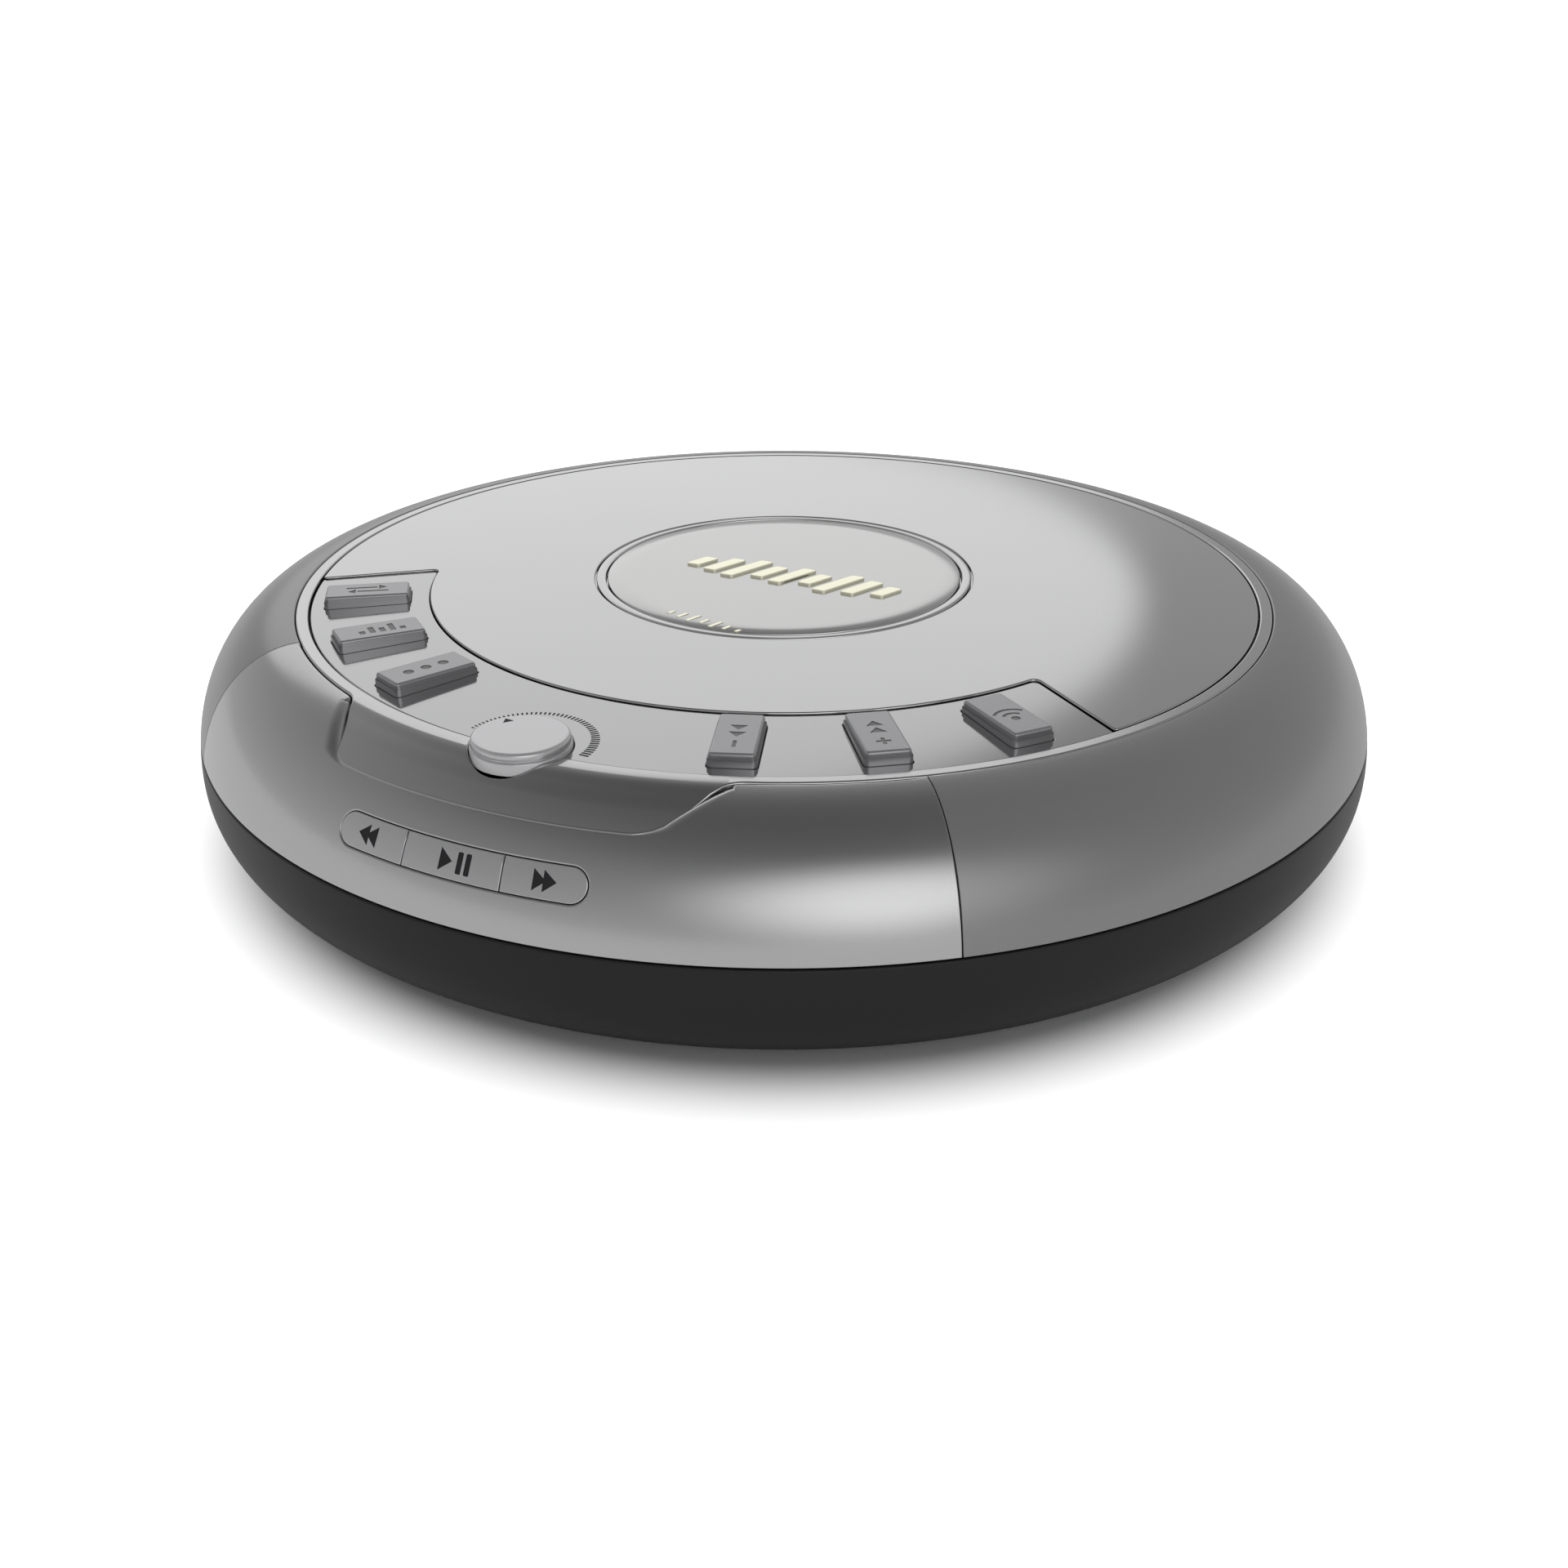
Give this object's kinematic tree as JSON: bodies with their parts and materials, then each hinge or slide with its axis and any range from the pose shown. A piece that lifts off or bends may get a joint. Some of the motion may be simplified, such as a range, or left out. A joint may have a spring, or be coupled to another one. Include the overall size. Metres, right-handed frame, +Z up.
{
  "type": "portable cd player",
  "caption": "Round portable disc player with a rear-hinged lid, a crescent of push buttons, a volume knob, front transport keys and a battery door underneath.",
  "frame": {"origin": "centre of the bottom, on the surface that the feet rest on, under the disc spindle", "axes": "+Z up along the disc spindle, -Y to the front where the transport keys are, +X to the right"},
  "size_m": [0.2018, 0.2018, 0.0413],
  "materials": {
    "base_black": "satin black moulded ABS",
    "bumper_grey": "smooth dark warm grey lacquer",
    "panel_silver": "satin silver lacquer on ABS",
    "ring_silver": "bright silver lacquer on ABS",
    "crescent_grey": "semi-gloss metallic grey lacquer",
    "lid_silver": "satin silver lacquer on ABS",
    "badge_silver": "fine satin silver disc",
    "emblem_gold": "pale gold raised mark",
    "button_grey": "satin grey lacquer on ABS",
    "key_silver": "satin silver lacquer on ABS",
    "knob_grey": "satin grey lacquer on ABS",
    "deck_grey": "finely textured dark grey ABS",
    "inner_black": "black ABS",
    "white_plastic": "natural white acetal",
    "bright_steel": "bright nickel-plated steel",
    "board_green": "green solder mask on glass-fibre board",
    "chip_black": "moulded epoxy",
    "foot_rubber": "soft black rubber",
    "lens_glass": "coated lens"
  },
  "bodies": {
    "case": {"base_shell": "base_black", "rear_bumper": "bumper_grey", "front_panel": "panel_silver", "top_ring": "ring_silver", "control_crescent": "crescent_grey", "disc_deck": "deck_grey", "well_wall": "deck_grey", "hinge_bracket": "inner_black", "hinge_rod": "bright_steel", "key_board": "board_green", "transport_board": "board_green", "volume_control": "bright_steel", "spindle_motor": "bright_steel", "mechanism_chassis": "bright_steel", "guide_rod_front": "bright_steel", "guide_rod_rear": "bright_steel", "sled_motor": "bright_steel", "battery_tray": "inner_black", "battery_spring_front": "bright_steel", "battery_spring_rear": "bright_steel", "battery_link": "bright_steel", "main_board": "board_green", "decoder_chip": "chip_black", "tuner_module": "bright_steel", "headphone_jack": "inner_black", "line_jack": "inner_black", "dc_jack": "inner_black", "foot_1": "foot_rubber", "case_screw_1": "bright_steel", "foot_2": "foot_rubber", "case_screw_2": "bright_steel", "foot_3": "foot_rubber", "case_screw_3": "bright_steel", "foot_4": "foot_rubber", "case_screw_4": "bright_steel"},
    "lid": {"lid_panel": "lid_silver", "lid_badge": "badge_silver", "badge_ring": "ring_silver", "emblem": "emblem_gold", "hinge_arm_left": "deck_grey", "hinge_arm_right": "deck_grey", "lid_hook": "deck_grey"},
    "repeat_button": {"repeat_button": "button_grey"},
    "equaliser_button": {"equaliser_button": "button_grey"},
    "mode_button": {"mode_button": "button_grey"},
    "slower_button": {"slower_button": "button_grey"},
    "faster_button": {"faster_button": "button_grey"},
    "radio_button": {"radio_button": "button_grey"},
    "rewind_key": {"rewind_key": "key_silver"},
    "play_key": {"play_key": "key_silver"},
    "forward_key": {"forward_key": "key_silver"},
    "volume_knob": {"volume_knob": "knob_grey"},
    "open_button": {"open_button": "button_grey"},
    "hold_switch": {"hold_switch": "button_grey"},
    "turntable": {"turntable": "inner_black"},
    "pickup": {"pickup_sled": "inner_black", "pickup_lens": "lens_glass"},
    "drive_gear": {"drive_gear": "white_plastic"},
    "battery_door": {"battery_door": "base_black"}
  },
  "joints": [
    {"name": "lid_hinge", "type": "hinge", "parent": "case", "child": "lid", "pos_m": [0, 0.088, 0.031], "axis": [-1, 0, 0], "range_deg": [0, 65]},
    {"name": "repeat_press", "type": "slide", "parent": "case", "child": "repeat_button", "axis": [0, 0, -1], "range_m": [0, 0.0007], "stiffness_N_per_m": 900},
    {"name": "equaliser_press", "type": "slide", "parent": "case", "child": "equaliser_button", "axis": [0, 0, -1], "range_m": [0, 0.0007], "stiffness_N_per_m": 900},
    {"name": "mode_press", "type": "slide", "parent": "case", "child": "mode_button", "axis": [0, 0, -1], "range_m": [0, 0.0007], "stiffness_N_per_m": 900},
    {"name": "slower_press", "type": "slide", "parent": "case", "child": "slower_button", "axis": [0, 0, -1], "range_m": [0, 0.0007], "stiffness_N_per_m": 900},
    {"name": "faster_press", "type": "slide", "parent": "case", "child": "faster_button", "axis": [0, 0, -1], "range_m": [0, 0.0007], "stiffness_N_per_m": 900},
    {"name": "radio_press", "type": "slide", "parent": "case", "child": "radio_button", "axis": [0, 0, -1], "range_m": [0, 0.0007], "stiffness_N_per_m": 900},
    {"name": "rewind_press", "type": "slide", "parent": "case", "child": "rewind_key", "axis": [0.1231, 0.8651, -0.4863], "range_m": [0, 0.0006], "stiffness_N_per_m": 900},
    {"name": "play_press", "type": "slide", "parent": "case", "child": "play_key", "axis": [-0.0046, 0.8738, -0.4863], "range_m": [0, 0.0006], "stiffness_N_per_m": 900},
    {"name": "forward_press", "type": "slide", "parent": "case", "child": "forward_key", "axis": [-0.1322, 0.8637, -0.4863], "range_m": [0, 0.0006], "stiffness_N_per_m": 900},
    {"name": "open_press", "type": "slide", "parent": "case", "child": "open_button", "axis": [0.9962, -0.0872, 0], "range_m": [0, 0.002], "stiffness_N_per_m": 500},
    {"name": "hold_slide", "type": "slide", "parent": "case", "child": "hold_switch", "axis": [0.5, -0.866, 0], "range_m": [0, 0.004]},
    {"name": "volume_turn", "type": "hinge", "parent": "case", "child": "volume_knob", "pos_m": [0, -0.0798, 0.039], "axis": [0, 0, 1], "range_deg": [-145, 35]},
    {"name": "disc_spin", "type": "hinge", "parent": "case", "child": "turntable", "pos_m": [0, 0, 0.03], "axis": [0, 0, 1], "continuous": true},
    {"name": "pickup_slide", "type": "slide", "parent": "case", "child": "pickup", "axis": [1, 0, 0], "range_m": [0, 0.034]},
    {"name": "gear_spin", "type": "hinge", "parent": "case", "child": "drive_gear", "pos_m": [0.028, 0.021, 0.0225], "axis": [0, 0, 1], "range_deg": [0, 244]},
    {"name": "battery_door_hinge", "type": "hinge", "parent": "case", "child": "battery_door", "pos_m": [0, -0.0424, 0.0011], "axis": [1, 0, 0], "range_deg": [0, 110]}
  ],
  "couplings": [
    {"joint": "gear_spin", "follows": "pickup_slide", "rad_per_m": 125}
  ]
}
